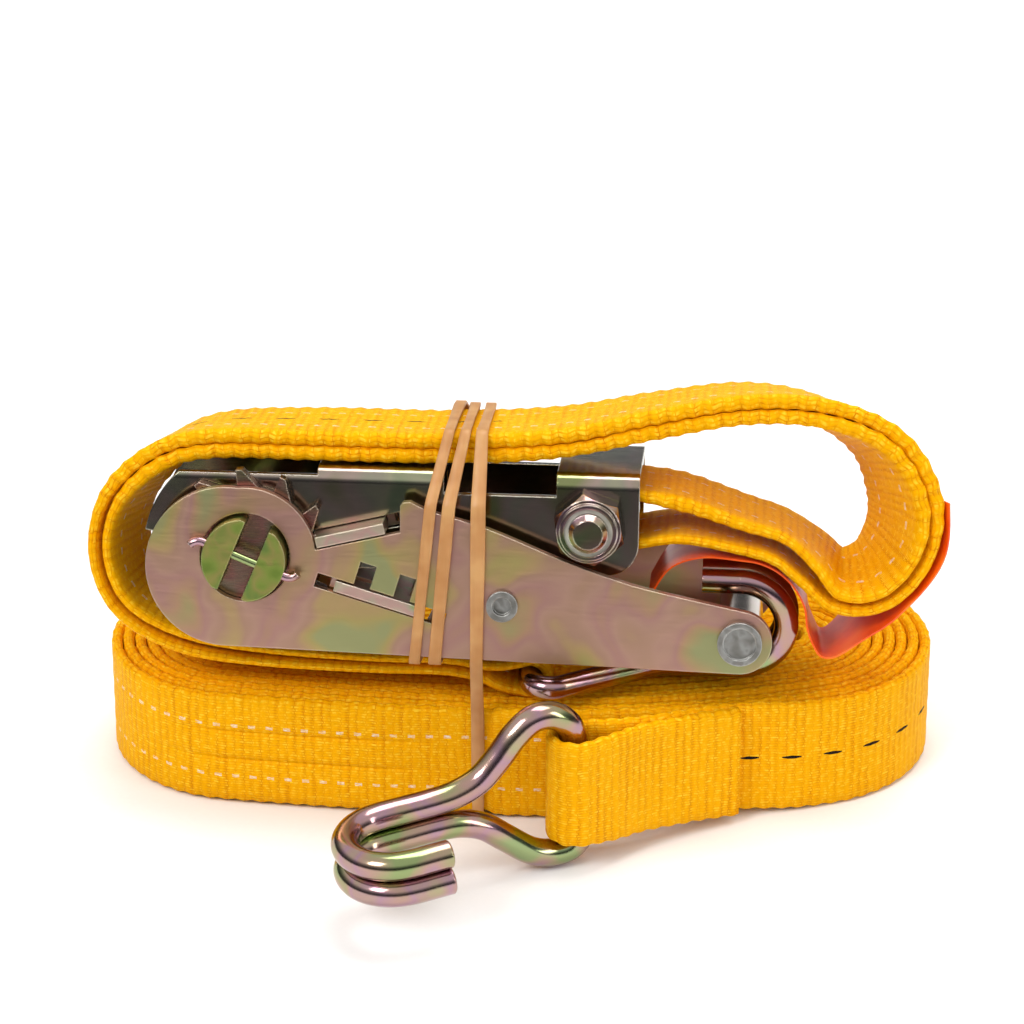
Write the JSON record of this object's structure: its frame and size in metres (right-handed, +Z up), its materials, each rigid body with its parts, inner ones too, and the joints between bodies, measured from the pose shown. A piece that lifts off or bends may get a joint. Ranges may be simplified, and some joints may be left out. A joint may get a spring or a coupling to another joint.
{
  "type": "ratchet tie down",
  "caption": "Webbing ratchet tie down packed as a bundle: closed ratchet with pawls and spool, wound long strap, short strap, wire hooks, rubber band and plain tag.",
  "frame": {"origin": "middle of the bundle's footprint, on the table", "axes": "+X along the roll from the spool to the grip, +Y away from the front hook, +Z up"},
  "size_m": [0.1766, 0.1253, 0.0899],
  "materials": {
    "zinc_sheet": "yellow passivated zinc on stamped sheet, slightly iridescent",
    "spool_bar": "yellow passivated zinc, brushed ends",
    "hook_wire": "bright yellow zinc plated wire",
    "rivet_zinc": "pale zinc",
    "spring_wire": "drawn spring wire",
    "webbing": "woven polyester webbing",
    "band_rubber": "natural rubber",
    "tag_vinyl": "plain vinyl",
    "nylon": "natural nylon"
  },
  "bodies": {
    "bundle": {"long_strap": "webbing", "handle_plate_front": "zinc_sheet", "handle_plate_rear": "zinc_sheet", "spring_bridge": "zinc_sheet", "spacer_sleeve": "rivet_zinc", "spacer_rivet": "rivet_zinc", "grip_tube": "rivet_zinc", "grip_rivet": "rivet_zinc", "short_strap": "webbing", "rubber_band": "band_rubber", "strap_tag": "tag_vinyl", "drive_spring": "spring_wire"},
    "frame": {"frame_channel": "zinc_sheet", "anchor_bolt": "rivet_zinc", "anchor_nut": "rivet_zinc", "nut_insert": "nylon", "anchor_sleeve": "rivet_zinc", "lock_spring": "spring_wire"},
    "spool": {"spool_half_left": "spool_bar", "spool_half_right": "spool_bar", "spool_clip_front": "spring_wire", "spool_clip_rear": "spring_wire", "ratchet_wheel_front": "zinc_sheet", "ratchet_wheel_rear": "zinc_sheet"},
    "drive_pawl": {"drive_pawl": "zinc_sheet"},
    "lock_pawl": {"lock_pawl": "zinc_sheet"},
    "front_hook": {"long_strap_hook": "hook_wire"},
    "rear_hook": {"short_strap_hook": "hook_wire"}
  },
  "joints": [
    {"name": "handle_swing", "type": "hinge", "parent": "bundle", "child": "frame", "pos_m": [-0.0535, 0.01461, 0.0537], "axis": [0, -0.9781, 0.2079], "range_deg": [0, 180], "deforming": ["short_strap", "rubber_band", "strap_tag"]},
    {"name": "spool_spin", "type": "hinge", "parent": "frame", "child": "spool", "pos_m": [-0.0535, 0.01461, 0.0537], "axis": [0, 0.9781, -0.2079], "continuous": true},
    {"name": "drive_pawl_slide", "type": "slide", "parent": "bundle", "child": "drive_pawl", "axis": [0.9598, -0.0584, -0.2745], "range_m": [-0.0036, 0.003], "stiffness_N_per_m": 400, "deforming": ["drive_spring"]},
    {"name": "lock_pawl_slide", "type": "slide", "parent": "frame", "child": "lock_pawl", "axis": [0.9715, 0.0492, 0.2317], "range_m": [0, 0.0072], "deforming": ["lock_spring"]},
    {"name": "front_hook_swing", "type": "hinge", "parent": "bundle", "child": "front_hook", "pos_m": [0.0147, -0.02314, 0.0181], "axis": [-0.0627, -0.0306, 0.9976], "range_deg": [-20, 75]},
    {"name": "rear_hook_rock", "type": "hinge", "parent": "bundle", "child": "rear_hook", "pos_m": [0.004, 0.00971, 0.0301], "axis": [0, 1, 0], "range_deg": [0, 2]}
  ],
  "couplings": [
    {"joint": "lock_pawl_slide", "follows": "handle_swing", "m_per_rad": 0.0022918}
  ]
}
